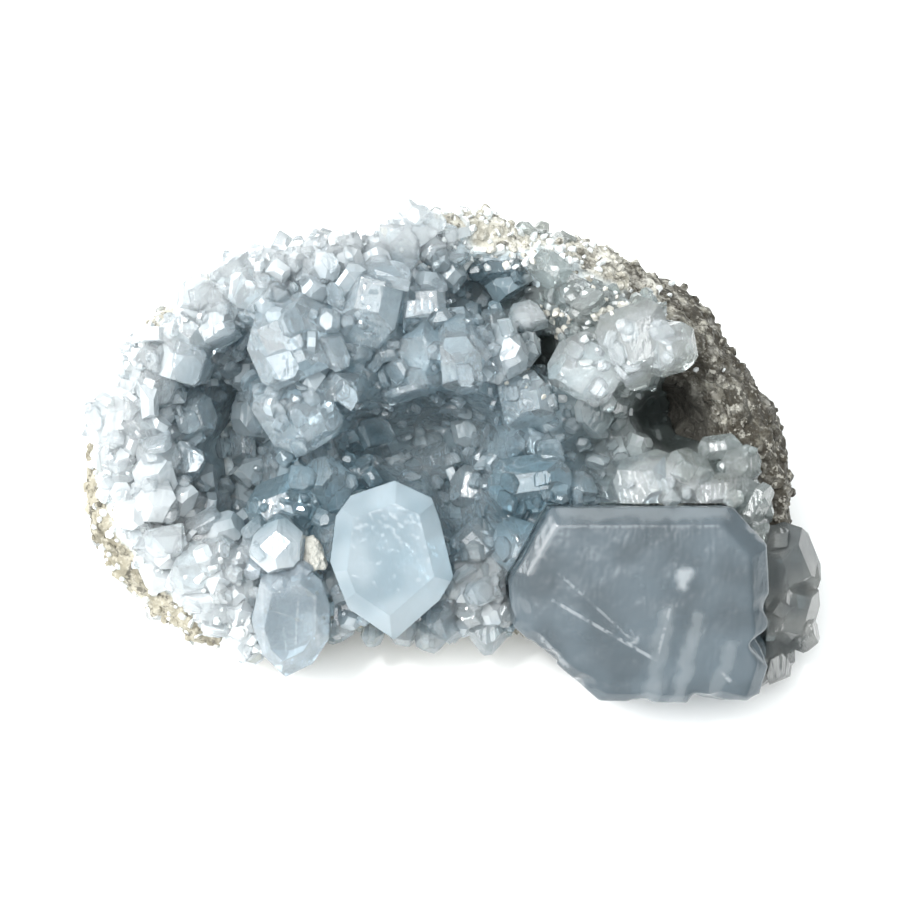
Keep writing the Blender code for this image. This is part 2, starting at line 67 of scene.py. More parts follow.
def facePoint(x, y, z=0.0):
    return faceMatrix @ Vector((x * mm, y * mm, z * mm))


def faceWay(x, y):
    # a direction along the face
    return faceMatrix.to_3x3() @ Vector((x, y, 0))


def ramp(value, low, high):
    # nothing at the low end, one at the high end
    return min(max((value - low) / (high - low), 0), 1)


def deselectAll():
    for obj in bpy.data.objects:
        obj.select_set(False)


def pick(obj):
    deselectAll()
    obj.select_set(True)
    bpy.context.view_layer.objects.active = obj


def copyOfNode(name, newName):
    # A CAD node is loose triangles, so the copy's doubles are merged before anything else.
    source = frame["nodes"][name]
    obj = bpy.data.objects.new(newName, source.data.copy())
    bpy.context.scene.collection.objects.link(obj)
    obj.data.materials.clear()
    for key in list(obj.keys()):
        del obj[key]
    pick(obj)
    bpy.ops.object.mode_set(mode="EDIT")
    bpy.ops.mesh.select_all(action="SELECT")
    bpy.ops.mesh.remove_doubles(threshold=0.003 * mm)
    bpy.ops.mesh.normals_make_consistent(inside=False)
    bpy.ops.object.mode_set(mode="OBJECT")
    return obj


def applyModifier(obj, kind, **settings):
    pick(obj)
    modifier = obj.modifiers.new(kind.lower(), kind)
    for name, value in settings.items():
        setattr(modifier, name, value)
    bpy.ops.object.modifier_apply(modifier=modifier.name)


def displaceBy(obj, kind, size, strength, middle=0.5, **settings):
    texture = bpy.data.textures.new(f"{obj.name}_{kind.lower()}", kind)
    texture.noise_scale = size * mm
    for name, value in settings.items():
        setattr(texture, name, value)
    bump = {"texture": texture, "texture_coords": "LOCAL", "strength": strength * mm, "mid_level": middle}
    applyModifier(obj, "DISPLACE", **bump)


def wear(obj, material, slotName, *nodes):
    # gives a piece its material and its place in the frame
    obj.data.materials.clear()
    obj.data.materials.append(material)
    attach(obj, "root")
    if nodes:
        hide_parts(*nodes)


def linear(hexColour):
    # sRGB hex to the linear values that shaders take
    parts = [int(hexColour[i : i + 2], 16) / 255 for i in (1, 3, 5)]
    return tuple(p / 12.92 if p <= 0.04045 else ((p + 0.055) / 1.055) ** 2.4 for p in parts) + (1.0,)


def linearLook(look):
    return {key: linear(value) if isinstance(value, str) else value for key, value in look.items()}


def addNode(tree, kind, inputs=(), stops=(), output=0, **settings):
    # Adds a node and gives one output of it. Inputs are values or links, in their order or by name.
    node = tree.nodes.new("ShaderNode" + kind)
    for name, value in settings.items():
        setattr(node, name, value)
    for name, value in inputs.items() if isinstance(inputs, dict) else enumerate(inputs):
        if isinstance(value, bpy.types.NodeSocket):
            tree.links.new(value, node.inputs[name])
        else:
            node.inputs[name].default_value = value
    for index, (position, colour) in enumerate(stops):
        elements = node.color_ramp.elements
        element = elements[index] if index < 2 else elements.new(position)
        element.position, element.color = position, colour
    return node.outputs[output]


softly = {"interpolation_type": "SMOOTHSTEP"}


def newMaterial(name):
    material = bpy.data.materials.new(name)
    material.use_nodes = True
    tree = material.node_tree
    return material, tree, tree.nodes["Principled BSDF"], addNode(tree, "TexCoord", output="Object")


def paint(tree, colour, layers, mode="MIX"):
    # lays colours over one another, each with its share of the surface
    for share, over in layers:
        sockets = {0: share, 6: colour, 7: over}
        colour = addNode(tree, "Mix", sockets, output=2, data_type="RGBA", blend_type=mode)
    return colour


def cloudy(tree, coords, size, detail=3.0, roughness=0.55, offset=0.0):
    # a cloudy pattern with features of this size in millimetres, from its own part of the noise
    if offset:
        coords = addNode(tree, "VectorMath", (coords, (offset, offset, offset)), operation="ADD")
    inputs = {"Vector": coords, "Scale": 1 / (size * mm), "Detail": detail, "Roughness": roughness}
    return addNode(tree, "TexNoise", inputs)


def alongAxis(tree, coords, axis):
    # distance in metres from the middle of the opening along a direction
    shifted = addNode(tree, "VectorMath", (coords, faceOrigin), operation="SUBTRACT")
    return addNode(tree, "VectorMath", (shifted, axis), operation="DOT_PRODUCT", output="Value")


def nearSpot(tree, coords, spot, radius):
    # one inside a ball round a spot on the face, falling to nothing at its radius
    distance = addNode(tree, "VectorMath", (coords, facePoint(*spot)), operation="DISTANCE", output="Value")
    return addNode(tree, "MapRange", (distance, radius * 0.55 * mm, radius * mm, 1.0, 0.0), **softly)


def nearLine(tree, coords, start, end, width):
    # one on a straight line across the face, falling to nothing at this distance on both sides
    first, last = facePoint(*start), facePoint(*end)
    along, half = (last - first).normalized(), (last - first).length / 2
    side = along.cross(faceNormal)
    rel = addNode(tree, "VectorMath", (coords, first), operation="SUBTRACT")
    across = addNode(tree, "VectorMath", (rel, side), operation="DOT_PRODUCT", output="Value")
    across = addNode(tree, "Math", (across,), operation="ABSOLUTE")
    onLine = addNode(tree, "MapRange", (across, 0.2 * width * mm, width * mm, 1.0, 0.0), **softly)
    reach = addNode(tree, "VectorMath", (rel, along), operation="DOT_PRODUCT", output="Value")
    reach = addNode(tree, "Math", (reach, half), operation="SUBTRACT")
    reach = addNode(tree, "Math", (reach,), operation="ABSOLUTE")
    within = addNode(tree, "MapRange", (reach, half - 0.8 * mm, half + 0.4 * mm, 1.0, 0.0), **softly)
    return addNode(tree, "Math", (onLine, within), operation="MULTIPLY")


# hollow, low, middle and high give painted light and shade by depth; shade is the painted shade in the deep
# hollows
celestiteLook = {
    "hollow": "#D6E4EA", "low": "#CAD9E0", "middle": "#BFD0D8", "high": "#D6E2E8",
    "creamy": "#FBF0E4", "milky": "#F8FDFF", "shade": "#7A8482", "blue": "#9FB6C0",
    "ior": 1.62, "roughness": (0.03, 0.24), "transmission": 0.82, "absorption": "#65D6F2",
}
# places on the face with their radius, in millimetres: hollows with painted shade, bluer crystals, frosted
# white crystals
paintedShadeHollows = [((28.4, 1.4, -11.0), 8.5), ((11.4, 9.4, -7.0), 4.2)]
# bluer crystals; the first spot, in the top hollow, is partly bluer crystals and partly painted shade
bluerAndShadedSpots = [
    ((5.5, 17.5, -4.0), 5.5), ((-20.6, -10.0, 2.0), 8.5), ((9.0, -8.0, 2.0), 8.0), ((-9.0, -4.0, -2.0), 7.0),
]
frostedSpots = [
    ((4.0, -20.6, 1.0), 6.0), ((24.8, -6.9, 5.0), 4.6), ((18.8, 6.9, 5.0), 6.0), ((24.0, 10.0, 7.0), 5.5),
    ((10.2, 14.4, 1.0), 3.4), ((31.0, -10.4, 3.0), 4.6),
]


def crustColour(tree, coords, look, cloud):
    # painted light and shade by depth: the colour follows the height over the face, palest deep in the
    # hollows and where the crystals stand up, greyest between
    wander = addNode(tree, "MapRange", (cloud, 0.3, 0.7, -2.5 * mm, 2.5 * mm), **softly)
    level = addNode(tree, "Math", (wander, alongAxis(tree, coords, faceNormal)), operation="ADD")
    level = addNode(tree, "MapRange", (level, -14 * mm, 8 * mm), **softly)
    stops = [(0.0, look["hollow"]), (1.0, look["high"]), (0.35, look["low"]), (0.65, look["middle"])]
    colour = addNode(tree, "ValToRGB", (level,), stops)
    # creamy towards the upper right
    across = alongAxis(tree, coords, faceWay(0.85, 0.53))
    across = addNode(tree, "MapRange", (across, 8 * mm, 22 * mm, 0.0, 0.8), **softly)
    colour = paint(tree, colour, [(across, look["creamy"])], "MULTIPLY")
    # milky along the rim on the left and at the top, the side the key light comes from: partly the crystals'
    # own colour, partly painted light
    right = alongAxis(tree, coords, faceWay(1 / (44 * mm), 0))
    up = alongAxis(tree, coords, faceWay(0, 1 / (26 * mm)))
    out = addNode(tree, "CombineXYZ", (right, up))
    out = addNode(tree, "VectorMath", (out,), operation="LENGTH", output="Value")
    out = addNode(tree, "MapRange", (out, 0.72, 0.92), **softly)
    left = alongAxis(tree, coords, faceWay(-0.8, 0.35))
    left = addNode(tree, "MapRange", (left, 2 * mm, 10 * mm), **softly)
    layers = [(addNode(tree, "Math", (out, left), operation="MULTIPLY"), look["milky"])]
    # bluer crystals, frosted white crystals and painted shade in the deep hollows
    for spots, shade in ((bluerAndShadedSpots, "blue"), (frostedSpots, "milky"), (paintedShadeHollows, "shade")):
        layers += [(nearSpot(tree, coords, spot, radius), look[shade]) for spot, radius in spots]
    # whitish healed cracks, as thin wandering sheets that come and go
    ridge = addNode(tree, "Math", (cloudy(tree, coords, 3.4, 0, 0.5, 0.4), 0.5), operation="SUBTRACT")
    ridge = addNode(tree, "Math", (ridge,), operation="ABSOLUTE")
    ridge = addNode(tree, "MapRange", (ridge, 0.0, 0.022, 0.55, 0.0), **softly)
    patchy = addNode(tree, "MapRange", (cloudy(tree, coords, 5.0, 0, offset=0.8), 0.45, 0.6), **softly)
    layers.append((addNode(tree, "Math", (ridge, patchy), operation="MULTIPLY"), look["milky"]))
    return paint(tree, colour, layers)


def frostedMarks(tree, coords, look, marks):
    # white streaks and bands: the thin ones are broken, the wide ones have wandering edges
    broken = (cloudy(tree, coords, 0.9, 1, offset=0.6), 0.40, 0.60, 0.15, 1.0)
    broken = addNode(tree, "MapRange", broken, **softly)
    wobble = {"Vector": coords, "Scale": 1 / (2.2 * mm), "Detail": 2.0}
    wobble = addNode(tree, "TexNoise", wobble, output="Color")
    wobble = addNode(tree, "VectorMath", (wobble, (0.5, 0.5, 0.5)), operation="SUBTRACT")
    wobble = addNode(tree, "VectorMath", (wobble, (2.2 * mm, 2.2 * mm, 2.2 * mm)), operation="MULTIPLY")
    warped = addNode(tree, "VectorMath", (coords, wobble), operation="ADD")
    layers = []
    for start, end, width, strength in marks:
        share = nearLine(tree, warped if width > 0.6 else coords, start, end, width)
        share = addNode(tree, "Math", (share, strength), operation="MULTIPLY")
        if width < 1:
            share = addNode(tree, "Math", (share, broken), operation="MULTIPLY")
        layers.append((share, look["milky"]))
    return layers


def crystalRelief(tree, coords, frost, worn):
    # growth striations and small etch pits, and edges worn round by this many millimetres
    stretched = addNode(tree, "Mapping", {"Vector": coords, "Scale": (1.0, 0.18, 0.6)})
    pits = cloudy(tree, coords, 1.1, 1, offset=0.7)
    relief = addNode(tree, "Math", (cloudy(tree, stretched, 0.5, 0), pits), operation="ADD")
    inputs = {"Height": relief, "Strength": 0.4 * frost, "Distance": 0.22 * mm}
    if worn:
        inputs["Normal"] = addNode(tree, "Bevel", {"Radius": worn * mm}, samples=2)
    return addNode(tree, "Bump", inputs)


def celestiteMaterial(name, transmission, tint=(), density=0, roughness=None, frost=1.0, marks=(), worn=0.22):
    # Celestite: glassy orthorhombic crystals, milky where healed cracks and fluid bubbles scatter the light.
    # Frost sets the strength of the relief, and worn is the rounding of the edges in millimetres.
    look = linearLook(celestiteLook)
    material, tree, shader, coords = newMaterial(name)
    cloud = cloudy(tree, coords, 6, 1)
    if tint:
        share = addNode(tree, "MapRange", (cloud, 0.32, 0.68), **softly)
        colour = paint(tree, linear(tint[0]), [(share, linear(tint[1]))])
    else:
        # the crust's colour, with painted light and shade by depth and in the hollows
        colour = crustColour(tree, coords, look, cloud)
    if marks:
        colour = paint(tree, colour, frostedMarks(tree, coords, look, marks))
    tree.links.new(colour, shader.inputs["Base Color"])
    if roughness:
        shader.inputs["Roughness"].default_value = roughness
    else:
        frosting = (cloudy(tree, coords, 2.4, 0, offset=0.3), 0.35, 0.68, *look["roughness"])
        tree.links.new(addNode(tree, "MapRange", frosting, **softly), shader.inputs["Roughness"])
    if frost:
        tree.links.new(crystalRelief(tree, coords, frost, worn), shader.inputs["Normal"])
    shader.inputs["IOR"].default_value = look["ior"]
    shader.inputs["Transmission Weight"].default_value = transmission
    if density:
        absorption = addNode(tree, "VolumeAbsorption", {"Color": look["absorption"], "Density": density})
        tree.links.new(absorption, tree.nodes["Material Output"].inputs["Volume"])
    return material


# dark is both the dark clay specks and the painted shade in the deep hollows
limestoneLook = {
    "cream": "#A5A296", "white": "#CFCDC5", "grey": "#77746A", "brown": "#312C22", "dark": "#35332D",
    "pale": "#BDBAB0", "lowerLeftShade": "#D6D2C8", "lining": "#DCE8ED",
}


def limestoneMaterial(name, stained):
    # Grainy limestone: broken faces of fine calcite grains, matt and sugary, with iron stains and dark clay;
    # painted shade darkens the deep hollows and, on the stained rock, the lower left
    look = linearLook(limestoneLook)
    material, tree, shader, coords = newMaterial(name)
    stops = [(0.3, look["grey"]), (0.7, look["white"]), (0.5, look["cream"])]
    colour = addNode(tree, "ValToRGB", (cloudy(tree, coords, 5, 4, 0.6),), stops)
    grain = cloudy(tree, coords, 0.8, 2, 0.6, 0.9)
    layers = [(addNode(tree, "MapRange", (grain, 0.50, 0.62, 0.0, 0.6), **softly), look["white"])]
    if stained:
        # brown and weathered towards the right
        wander = (cloudy(tree, coords, 3.2, 4, 0.7, 0.2), 0.3, 0.7, -12 * mm, 12 * mm)
        wander = addNode(tree, "MapRange", wander, **softly)
        place = addNode(tree, "Math", (alongAxis(tree, coords, faceWay(1, 0)), wander), operation="ADD")
        place = addNode(tree, "MapRange", (place, 16 * mm, 34 * mm), **softly)
        patchy = (cloudy(tree, coords, 2.6, 3, 0.65, 0.75), 0.34, 0.54, 0.62, 0.98)
        patchy = addNode(tree, "MapRange", patchy, **softly)
        layers.append((addNode(tree, "Math", (place, patchy), operation="MULTIPLY"), look["brown"]))
    coarse = cloudy(tree, coords, 1.1, 2, 0.7, 0.35)
    speck = cloudy(tree, coords, 1.3, 3, 0.7, 0.5)
    layers.append((addNode(tree, "MapRange", (coarse, 0.56, 0.66, 0.0, 0.5), **softly), look["pale"]))
    layers.append((addNode(tree, "MapRange", (speck, 0.54, 0.64, 0.0, 0.75), **softly), look["dark"]))
    colour = paint(tree, colour, layers)
    if stained:
        # painted shade: darker along the lower left, to hold back the strong key light there, and milky where
        # the crystal lining sits on it
        low = alongAxis(tree, coords, faceWay(-0.7, -0.7))
        low = addNode(tree, "MapRange", (low, 16 * mm, 26 * mm), **softly)
        colour = paint(tree, colour, [(low, look["lowerLeftShade"])], "MULTIPLY")
        layers = [(addNode(tree, "Attribute", output="Fac", attribute_name="lined"), look["lining"])]
    else:
        layers = [(0.6, look["white"])]
    # painted shade in the deep hollows
    layers += [(nearSpot(tree, coords, spot, radius), look["dark"]) for spot, radius in paintedShadeHollows]
    tree.links.new(paint(tree, colour, layers), shader.inputs["Base Color"])
    matt = addNode(tree, "MapRange", (grain, 0.35, 0.65, 0.95, 0.65), **softly)
    tree.links.new(matt, shader.inputs["Roughness"])
    relief = addNode(tree, "Math", (grain, cloudy(tree, coords, 1.6, 3, 0.55, 0.1)), operation="ADD")
    bump = addNode(tree, "Bump", {"Height": relief, "Strength": 0.7, "Distance": 0.5 * mm})
    tree.links.new(bump, shader.inputs["Normal"])
    return material


# millimetres: the voxel, then size and height of the lumps and of the grains
rindForm = {"voxel": 0.5, "lumps": (3.0, 1.2), "grains": (1.0, 0.7)}


def makeRind():
    rind = copyOfNode("rind", "limestone_rind")
    applyModifier(rind, "REMESH", mode="VOXEL", voxel_size=rindForm["voxel"] * mm)
    size, height = rindForm["lumps"]
    displaceBy(rind, "VORONOI", size, -height, 0.3, distance_metric="DISTANCE")
    size, height = rindForm["grains"]
    displaceBy(rind, "CLOUDS", size, height, noise_depth=3)
    for point in rind.data.vertices:
        point.co.z = max(point.co.z, 0)
    wear(rind, limestoneMaterial("grainy_limestone", True), "rind", "rind")
    print("rind:", len(rind.data.polygons), "faces")
    return rind


# millimetres: where the layer fades out towards the right, and how far from the crust it reaches
liningLayer = {"right": (14, 24), "reach": (0.6, 1.6)}


def markLining(rind, crust):
    # Where the crust sits on the rock, a milky blue-white layer lies between them and brightens the crystals.
    points, faces = [v.co for v in crust.data.vertices], [list(p.vertices) for p in crust.data.polygons]
    tree = BVHTree.FromPolygons(points, faces)
    attribute = rind.data.attributes.new("lined", "FLOAT", "POINT")
    for vertex, value in zip(rind.data.vertices, attribute.data):
        distance = tree.find_nearest(vertex.co)[3] / mm
        left = 1 - ramp(vertex.co.x / mm, *liningLayer["right"])
        value.value = left * (1 - ramp(distance, *liningLayer["reach"]))


def makeCrust():
    crust = copyOfNode("crust", "celestite_crust")
    bpy.ops.object.mode_set(mode="EDIT")
    bpy.ops.mesh.select_all(action="SELECT")
    bpy.ops.mesh.dissolve_limited(angle_limit=math.radians(0.6))
    bpy.ops.object.mode_set(mode="OBJECT")
    wear(crust, celestiteMaterial("celestite_druse", celestiteLook["transmission"]), "crust", "crust")
    print("crust:", len(crust.data.polygons), "faces")
    return crust


# Small crystals. Each form: its size at a length of one, then the cuts, as the distance of the cutting plane
# from the middle and its direction.
crystalForms = {
    "roof": ((0.80, 0.66, 1.0), [
        (0.36, 0.77, 0.64, 0), (0.36, -0.77, 0.64, 0), (0.37, 0.77, -0.64, 0), (0.36, -0.77, -0.64, 0),
        (0.42, 0.773, 0, 0.634), (0.44, -0.773, 0, 0.634), (0.46, 0, 0.62, 0.785), (0.45, 0, -0.62, 0.785)]),
    "chisel": ((0.95, 0.50, 1.0), [
        (0.36, 0, 0.79, 0.61), (0.36, 0, -0.79, 0.61), (0.47, 0.80, 0, 0.60), (0.48, -0.70, 0.1, 0.70),
        (0.42, 0.80, 0.60, 0), (0.42, -0.80, 0.60, 0)]),
    "plate": ((0.90, 0.26, 1.0), [
        (0.47, 0.77, 0, 0.64), (0.44, -0.77, 0, 0.64), (0.45, 0, 0.62, 0.78), (0.52, 0.2, -0.5, 0.84)]),
    "point": ((0.78, 0.74, 1.0), [
        (0.34, 0.773, 0, 0.634), (0.35, -0.773, 0, 0.634), (0.34, 0, 0.789, 0.615), (0.36, 0, -0.789, 0.615),
        (0.40, 0.7, 0.7, 0), (0.42, -0.7, 0.7, 0)]),
    "block": ((0.86, 0.72, 1.0), [
        (0.46, 0.22, 0.16, 0.96), (0.42, 0.62, 0, 0.78), (0.44, -0.62, 0.1, 0.78), (0.38, 0.79, 0.61, 0),
        (0.38, -0.79, -0.61, 0), (0.40, 0.1, 0.79, 0.6), (0.45, -0.5, 0.8, 0)]),
    "stub": ((0.90, 0.86, 1.0), [
        (0.44, 0.773, 0, 0.634), (0.41, -0.773, 0.1, 0.634), (0.42, 0, 0.789, 0.615),
        (0.45, 0.1, -0.789, 0.615), (0.47, 0.05, 0.02, 1.0), (0.40, 0.79, 0.61, 0), (0.42, -0.79, 0.61, 0),
        (0.41, 0.79, -0.61, 0), (0.43, -0.79, -0.61, 0)]),
}
# flat steps of parallel growth
stepForms = {
    "long": ((1.0, 0.74, 0.30), [
        (0.13, 0.10, 0.06, 1.0), (0.40, 0.62, 0, 0.61), (0.38, -0.62, 0.1, 0.61), (0.32, 0, 0.62, 0.6),
        (0.30, 0.1, -0.62, 0.6), (0.46, 0.7, 0.71, 0), (0.48, -0.7, 0.71, 0), (0.47, 0.7, -0.71, 0)]),
    "wide": ((0.9, 0.84, 0.34), [
        (0.15, -0.08, 0.10, 1.0), (0.36, 0.63, 0, 0.57), (0.37, -0.63, 0, 0.57), (0.36, 0.1, 0.63, 0.57),
        (0.44, 0.7, 0.71, 0), (0.42, -0.8, -0.6, 0), (0.46, 0.75, -0.66, 0)]),
}


def cutForm(size, cuts):
    deselectAll()
    bpy.ops.mesh.primitive_cube_add(size=1)
    form = bpy.context.object
    form.scale = size
    bpy.ops.object.transform_apply(location=False, rotation=False, scale=True)
    bpy.ops.object.mode_set(mode="EDIT")
    for distance, x, y, z in cuts:
        normal = Vector((x, y, z)).normalized()
        bpy.ops.mesh.select_all(action="SELECT")
        bpy.ops.mesh.bisect(plane_co=normal * distance, plane_no=normal, use_fill=True, clear_outer=True)
    bpy.ops.mesh.select_all(action="SELECT")
    bpy.ops.mesh.remove_doubles(threshold=0.004)
    bpy.ops.mesh.normals_make_consistent(inside=False)
    bpy.ops.object.mode_set(mode="OBJECT")
    return form


def surfaceOf(pieces):
    # a tree for finding the surface, and each face's longest edge and piece
    points, faces, edges, owners = [], [], [], []
    for owner, piece in enumerate(pieces):
        start = len(points)
        points += [piece.matrix_world @ v.co for v in piece.data.vertices]
        for p in piece.data.polygons:
            corners = [start + index for index in p.vertices]
            faces.append(corners)
            sides = [points[b] - points[a] for a, b in zip(corners, corners[1:] + corners[:1])]
            edges.append(max(sides, key=lambda side: side.length))
            owners.append(owner)
    return BVHTree.FromPolygons(points, faces), edges, owners


# millimetres: how far out sight starts, where it aims on the face, and the ring that gives the surroundings
aim = {"start": 60, "aside": 70, "x": (-48, 50), "y": (-36, 30), "ring": 2, "aboveFloor": 2.5}


def sightLine(dice, settings, sideways):
    # a random line of sight: straight into the opening, or from outside towards the rim
    if not sideways:
        return facePoint(dice.uniform(*aim["x"]), dice.uniform(*aim["y"]), aim["start"]), -faceNormal
    turn, height = dice.uniform(0, 2 * math.pi), dice.uniform(*settings["heights"])
    start = facePoint(aim["aside"] * math.cos(turn), aim["aside"] * math.sin(turn), height)
    return start, (facePoint(0, 0, height - settings["dip"]) - start).normalized()


def lookAround(tree, x, y):
    # places and normals of the surface in a ring round a place on the face
    near = []
    for turn in range(0, 360, 60):
        dx, dy = aim["ring"] * math.cos(math.radians(turn)), aim["ring"] * math.sin(math.radians(turn))
        hit, normal = tree.ray_cast(facePoint(x + dx, y + dy, aim["start"]), -faceNormal)[:2]
        if hit is not None:
            near.append((hit, normal))
    return near


def joined(name, copies):
    pick(copies[0])
    for copy in copies:
        copy.select_set(True)
    bpy.ops.object.join()
    copies[0].name = name
    print(name + ":", len(copies), "pieces,", len(copies[0].data.polygons), "faces")
    return copies[0]


def standing(normal, near, tilt, turn, spin):
    # out of the surface and a little towards the opening, tilted at random
    around = sum((n for _, n in near), Vector()) / len(near)
    out = (around * 0.6 + normal * 0.3 + faceNormal * 0.5).normalized()
    side = out.orthogonal().normalized()
    out = (out + (side * math.cos(turn) + out.cross(side) * math.sin(turn)) * math.tan(tilt)).normalized()
    return out, out.to_track_quat("Z", "Y").to_matrix().to_4x4() @ Matrix.Rotation(spin, 4, "Z")


def scatter(name, forms, surface, settings, accept, clear=None):
    # Small pieces stand where the surface lies lower than its surroundings, so the big faces stay clean.
    dice = random.Random(settings["seed"])
    tree, edges, owners = surface
    toFace = faceMatrix.inverted()
    placed, copies = [], []
    for number in range(settings["candidates"] + settings.get("sideways", 0)):
        sideways = number >= settings["candidates"]
        hit, normal, index, _ = tree.ray_cast(*sightLine(dice, settings, sideways))
        low, high = settings["size"]
        length = (low + (high - low) * dice.random() ** 1.8) * mm
        turn, tilt, spin = dice.uniform(0, 6.283), dice.uniform(0, settings["tilt"]), dice.uniform(0, 6.283)
        form, luck = dice.choice(forms), dice.random()
        stretch = [dice.uniform(0.75, 1.25) for _ in range(3)]
        if hit is None or hit.z < aim["aboveFloor"] * mm:
            continue
        x, y, height = toFace @ hit / mm
        near = [] if sideways else lookAround(tree, x, y)
        near = near or [(hit, normal)]
        lift = height - sum((p - faceOrigin).dot(faceNormal) / mm for p, _ in near) / len(near)
        crowded = any((hit - p).length < settings["spacing"] * (length + q) for p, q in placed)
        crowded = crowded or clear and clear.find_nearest(hit)[3] < 0.45 * length
        if crowded or luck > accept(x, y, height, lift, owners[index]):
            continue
        placed.append((hit, length))
        if settings["tilt"]:
            out, stand = standing(normal, near, tilt, turn, spin)
        else:
            # growth steps lie flat on the face that carries them, along its longest edge
            out, edge = normal, edges[index].normalized()
            stand = Matrix((edge, out.cross(edge), out)).transposed().to_4x4()
        place = Matrix.Translation(hit + out * length * settings["root"]) @ stand
        mesh = form.data.copy()
        mesh.transform(place @ Matrix.Diagonal([*(length * s for s in stretch), 1]))
        copy = bpy.data.objects.new(name, mesh)
        bpy.context.scene.collection.objects.link(copy)
        copies.append(copy)
    return joined(name, copies)


def inside(spots, x, y, height, share=1.0):
    return any((Vector((x, y, height)) - Vector(spot)).length < radius * share for spot, radius in spots)


def inDark(x, y, height):
    return inside(paintedShadeHollows, x, y, height, 0.9)


# The next functions give the share of candidates that stay, from the place on the face in millimetres, its
# lift over its surroundings, and the owner: the number of the piece among those given to surfaceOf.
def druseShare(x, y, height, lift, owner):
    # blocky crystals crowd the rim, except at the right, and further in they are few
    if owner > 0 or inDark(x, y, height):
        return 0
    rim = ramp(math.hypot((x + 2) / 42, y / 26), 0.66, 0.80) * (1 - ramp(x, 6, 14))
    return max(rim * (1 - ramp(lift, 0.6, 1.4)), 0.10 * (1 - ramp(lift, -0.3, 0.4)))


def stepShare(x, y, height, lift, owner):
    # parallel growth on the bigger crystals, but not on the large ones
    if 0 < owner < 6 or height <= -9:
        return 0
    return 0.32 * ramp(lift, -0.8, 0.4)


def fillShare(x, y, height, lift, owner):
    # fine crystals in the crevices, and thick on the shelf at the right
    if owner > 2 or owner == 1 and (height > -6 or x > 15):
        return 0
    shelf = ramp(x, 9, 13) * ramp(y, 0, 4) * (1 - ramp(x, 28, 34)) * (1 - ramp(lift, 0.8, 1.6)) * 0.6
    return max((1 - ramp(lift, -0.4, 0.4)) * 0.8, shelf) * (0.12 if inDark(x, y, height) else 1)


def sugarShare(x, y, height, lift, owner):
    # a white rim on the left and at the top, and patches over the limestone at the upper right
    if owner > 1 or inDark(x, y, height):
        return 0
    out = math.hypot(x / 44, y / 26)
    rim = ramp(out, 0.86, 1.0) * ramp(-0.8 * x + 0.6 * y, 6, 20) * 0.5
    low = ramp(out, 0.86, 1.0) * ramp(-x, 12, 24) * 0.5
    patch = ramp(noise.noise(Vector((x, y, 4)) / 4.5), -0.1, 0.2)
    right = ramp(x, 8, 14) * ramp(y, 0, 6) * ramp(44 - x - 0.6 * y, 3, 12) * patch * 0.6
    top = ramp(y, 18, 20) * ramp(x, -8, -2) * (1 - ramp(x, 16, 22)) * 0.9
    return max(rim, low, right, top) * (1 - ramp(lift, 0.5, 1.3))


def grainShare(x, y, height, lift, owner):
    # broken grains of the rock, thick along the rim on the right and fewer lower down
    if owner > 0:
        return 0
    out = math.hypot(x / 44, y / 27)
    return max(0.85 * ramp(x, 6, 18), 0.5) * ramp(out, 0.6, 0.8) * (0.35 + 0.65 * ramp(height, -14, -5))


def crumbShare(x, y, height, lift, owner):
    # crumbs of the rock between the crystals at the upper right, but not on the frosted ones
    if owner > 0 or inDark(x, y, height) or inside(frostedSpots[1:4], x, y, height):
        return 0
    patch = ramp(noise.noise(Vector((x, y, 9)) / 4.0), 0.04, 0.20)
    return ramp(x, 6, 12) * ramp(y, 2, 8) * ramp(height, -8, -3) * patch * (1 - ramp(lift, 0.8, 1.6))


# For each kind: how many are tried from in front and from the side, how high and how far down the sideways
# ones aim, and the shortest and longest piece, in millimetres. Spacing and root are shares of the length.
rimGrains = {
    "candidates": 4200, "sideways": 3600, "heights": (-22, 8), "dip": 0, "size": (0.6, 1.7),
    "spacing": 0.42, "root": -0.1, "tilt": 0.9, "seed": 23,
}
rimCrumbs = {"candidates": 8000, "size": (0.6, 1.5), "spacing": 0.27, "root": 0.0, "tilt": 0.9, "seed": 29}
# the piece of rock beside the pointed crystal, in millimetres, with the size and height of its grains
limestoneLump = {
    "place": (-16.9, -15.8, 5.0), "size": (3.0, 5.8, 4.0), "turn": 0.2, "voxel": 0.3, "grains": (0.9, 0.8),
}


def makeGrains(rind, crust):
    forms = [cutForm(*form) for form in (crystalForms["block"], crystalForms["roof"], stepForms["wide"])]
    grains = scatter("limestone_grains", forms, surfaceOf([rind, crust]), rimGrains, grainShare)
    wear(grains, rind.data.materials[0], "rind")
    crumbs = scatter("limestone_crumbs", forms, surfaceOf([crust, rind]), rimCrumbs, crumbShare)
    wear(crumbs, limestoneMaterial("pale_limestone", False), "rind")
    lump = forms[0]
    lump.name = "limestone_lump"
    place = Matrix.Translation(Vector(limestoneLump["place"]) * mm)
    turn = Matrix.Rotation(limestoneLump["turn"], 4, "Z")
    size = Matrix.Diagonal([*(side * mm for side in limestoneLump["size"]), 1])
    lump.data.transform(faceMatrix @ place @ turn @ size)
    applyModifier(lump, "REMESH", mode="VOXEL", voxel_size=limestoneLump["voxel"] * mm)
    displaceBy(lump, "CLOUDS", *limestoneLump["grains"], noise_depth=2)
    wear(lump, crumbs.data.materials[0], "rind")
    for form in forms[1:]:
        bpy.data.objects.remove(form)


